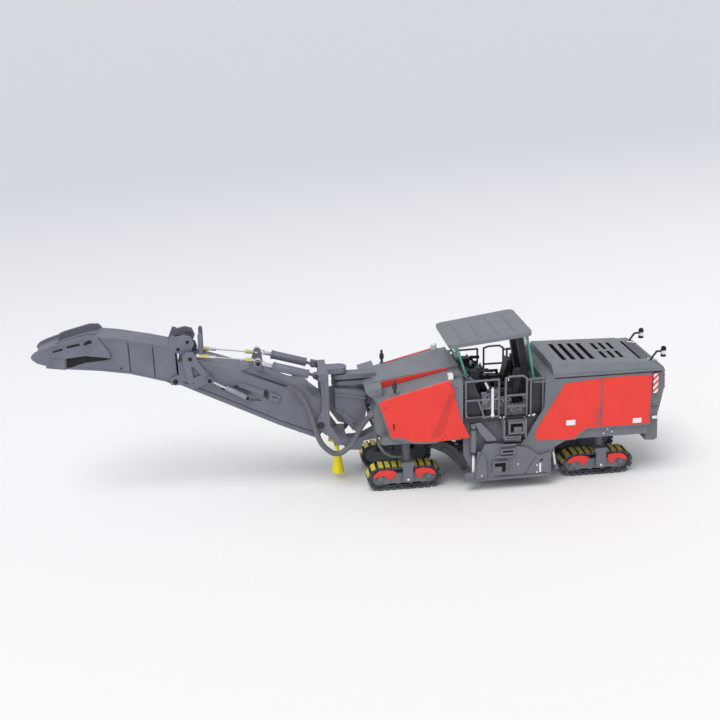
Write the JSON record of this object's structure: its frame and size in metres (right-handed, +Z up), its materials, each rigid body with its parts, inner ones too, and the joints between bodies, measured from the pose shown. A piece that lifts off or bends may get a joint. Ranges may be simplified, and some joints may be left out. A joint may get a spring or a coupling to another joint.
{
  "type": "cold planer milling machine, 1:50 scale model",
  "caption": "Scale model of a large cold milling machine in grey and red, with four steered crawler tracks, a milling drum, a roofed platform and a folding front conveyor.",
  "frame": {"origin": "middle of the overall length and width, on the ground under the tracks", "axes": "+X towards the conveyor's end, +Y to the machine's left, +Z up"},
  "size_m": [0.2936, 0.0558, 0.0844],
  "materials": {
    "body_grey": "satin",
    "body_red": "satin",
    "dark_trim": "matte",
    "track_steel": "matte",
    "bright_rod": "polished",
    "lamp_white": "gloss",
    "clear_glass": "clear",
    "signal_yellow": "satin",
    "hose_grey": "satin"
  },
  "bodies": {
    "machine": {"chassis_frame": "body_grey", "front_hood": "body_grey", "front_panels": "body_red", "front_posts": "dark_trim", "work_lamps": "lamp_white", "engine_body": "body_grey", "rear_hood": "body_grey", "rear_panels": "body_red", "flank_plates": "body_grey", "tail_bumper": "body_grey", "warning_stripes": "body_red", "beacon_and_mirrors": "dark_trim", "platform_deck": "dark_trim", "consoles": "dark_trim", "seats": "dark_trim", "roof": "body_grey", "roof_posts": "dark_trim", "glass_screens": "clear_glass", "handrails": "body_grey", "drum_housing": "body_grey", "boarding_steps": "body_grey", "side_cylinders": "body_grey", "slew_support": "body_grey", "transfer_chute": "body_grey", "hanging_cone": "signal_yellow"},
    "drum": {"milling_drum": "track_steel"},
    "plate_left": {"side_plate_left": "body_grey", "plate_rod_left": "bright_rod"},
    "plate_right": {"side_plate_right": "body_grey", "plate_rod_right": "bright_rod"},
    "crawler_front_left": {"track_leg_front_left": "body_grey", "track_frame_front_left": "body_grey", "track_front_left": "track_steel", "track_cover_front_left": "body_red"},
    "crawler_front_right": {"track_leg_front_right": "body_grey", "track_frame_front_right": "body_grey", "track_front_right": "track_steel", "track_cover_front_right": "body_red"},
    "crawler_rear_left": {"track_leg_rear_left": "body_grey", "track_frame_rear_left": "body_grey", "track_rear_left": "track_steel", "track_cover_rear_left": "body_red"},
    "crawler_rear_right": {"track_leg_rear_right": "body_grey", "track_frame_rear_right": "body_grey", "track_rear_right": "track_steel", "track_cover_rear_right": "body_red"},
    "slewing": {"slewing_frame": "body_grey", "loop_hose_left": "hose_grey", "loop_hose_right": "hose_grey"},
    "lower_conveyor": {"lower_boom": "body_grey", "stay_rods": "bright_rod"},
    "upper_conveyor": {"upper_boom": "body_grey", "conveyor_head": "body_grey"},
    "lever": {"fold_lever": "body_grey"},
    "luff_barrel": {"luff_barrels": "body_grey"},
    "luff_rod": {"luff_rods": "bright_rod"},
    "fold_barrel": {"fold_barrels": "body_grey"},
    "fold_rod": {"fold_rods": "bright_rod"}
  },
  "joints": [
    {"name": "drum_spin", "type": "hinge", "parent": "machine", "child": "drum", "pos_m": [-0.0702, 0, 0.0145], "axis": [0, 1, 0], "continuous": true},
    {"name": "plate_left_lift", "type": "slide", "parent": "machine", "child": "plate_left", "axis": [0, 0, 1], "range_m": [0, 0.002]},
    {"name": "plate_right_lift", "type": "slide", "parent": "machine", "child": "plate_right", "axis": [0, 0, 1], "range_m": [0, 0.002]},
    {"name": "steer_front_left", "type": "hinge", "parent": "machine", "child": "crawler_front_left", "pos_m": [-0.0217, 0.014, 0.012], "axis": [0, 0, 1], "range_deg": [-20, 20]},
    {"name": "steer_front_right", "type": "hinge", "parent": "machine", "child": "crawler_front_right", "pos_m": [-0.0217, -0.014, 0.012], "axis": [0, 0, 1], "range_deg": [-20, 20]},
    {"name": "steer_rear_left", "type": "hinge", "parent": "machine", "child": "crawler_rear_left", "pos_m": [-0.1157, 0.014, 0.012], "axis": [0, 0, 1], "range_deg": [-20, 20]},
    {"name": "steer_rear_right", "type": "hinge", "parent": "machine", "child": "crawler_rear_right", "pos_m": [-0.1157, -0.014, 0.012], "axis": [0, 0, 1], "range_deg": [-20, 20]},
    {"name": "conveyor_slew", "type": "hinge", "parent": "machine", "child": "slewing", "pos_m": [0.0082, 0, 0.05], "axis": [0, 0, 1], "range_deg": [-45, 45], "deforming": ["loop_hose_left", "loop_hose_right"]},
    {"name": "conveyor_luff", "type": "hinge", "parent": "slewing", "child": "lower_conveyor", "pos_m": [0.018, 0, 0.033], "axis": [0, -1, 0], "range_deg": [-10, 8]},
    {"name": "luff_barrel_swing", "type": "hinge", "parent": "slewing", "child": "luff_barrel", "pos_m": [0.0194, 0, 0.0572], "axis": [0, -1, 0], "range_deg": [-14, 12]},
    {"name": "luff_rod_slide", "type": "slide", "parent": "luff_barrel", "child": "luff_rod", "axis": [0.9554, 0, 0.2954], "range_m": [-0.0036, 0.0045]},
    {"name": "conveyor_fold", "type": "hinge", "parent": "lower_conveyor", "child": "upper_conveyor", "pos_m": [0.0837, 0, 0.0588], "axis": [0, 1, 0], "range_deg": [0, 45]},
    {"name": "fold_lever_swing", "type": "hinge", "parent": "lower_conveyor", "child": "lever", "pos_m": [0.0759, 0, 0.057], "axis": [0, 1, 0], "range_deg": [-1, 46]},
    {"name": "fold_barrel_swing", "type": "hinge", "parent": "lower_conveyor", "child": "fold_barrel", "pos_m": [0.0515, 0, 0.0494], "axis": [0, -1, 0], "range_deg": [-0.5, 7]},
    {"name": "fold_rod_slide", "type": "slide", "parent": "fold_barrel", "child": "fold_rod", "axis": [0.8611, 0, 0.5084], "range_m": [-0.0003, 0.0062]}
  ],
  "couplings": [
    {"joint": "luff_barrel_swing", "follows": "conveyor_luff", "ratio": 1.285},
    {"joint": "luff_rod_slide", "follows": "conveyor_luff", "m_per_rad": -0.022632},
    {"joint": "fold_lever_swing", "follows": "conveyor_fold", "ratio": 1},
    {"joint": "fold_barrel_swing", "follows": "conveyor_fold", "ratio": 0.14},
    {"joint": "fold_rod_slide", "follows": "conveyor_fold", "m_per_rad": 0.007489}
  ]
}
